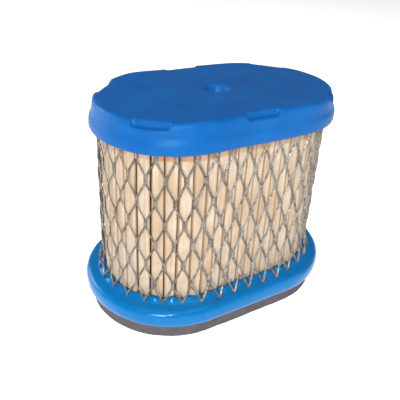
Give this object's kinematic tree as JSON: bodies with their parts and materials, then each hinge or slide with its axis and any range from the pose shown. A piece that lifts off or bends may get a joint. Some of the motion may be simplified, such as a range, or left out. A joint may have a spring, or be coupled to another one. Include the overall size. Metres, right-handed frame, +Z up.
{
  "type": "oval air filter cartridge",
  "caption": "Oval pleated-paper air filter cartridge for a small engine, with expanded-metal screens, moulded end caps, a closed top and a gasketed open base.",
  "frame": {"origin": "centre of the underside of the gasket, which is the face the cartridge seals and stands on", "axes": "+Z up towards the closed top cap, +X along the oval, +Y towards the side that holds the paper's seam"},
  "size_m": [0.106, 0.07, 0.086],
  "materials": {
    "cap_polyurethane": "satin moulded polyurethane, soft sheen",
    "base_polyurethane": "glossy moulded polyurethane",
    "gasket_foam": "matte closed-cell foam",
    "filter_paper": "resin-treated pleated paper, matte",
    "tinplate": "thin tinned steel",
    "galvanised_mesh": "galvanised expanded steel, dull with bright edges",
    "staple_wire": "galvanised wire"
  },
  "bodies": {
    "root": {"top_cap": "cap_polyurethane", "base_cap": "base_polyurethane", "sealing_gasket": "gasket_foam", "pleated_paper": "filter_paper", "paper_seam_clip": "tinplate", "outer_screen": "galvanised_mesh", "outer_screen_staples": "staple_wire", "inner_screen": "galvanised_mesh", "inner_screen_staples": "staple_wire"}
  },
  "joints": []
}
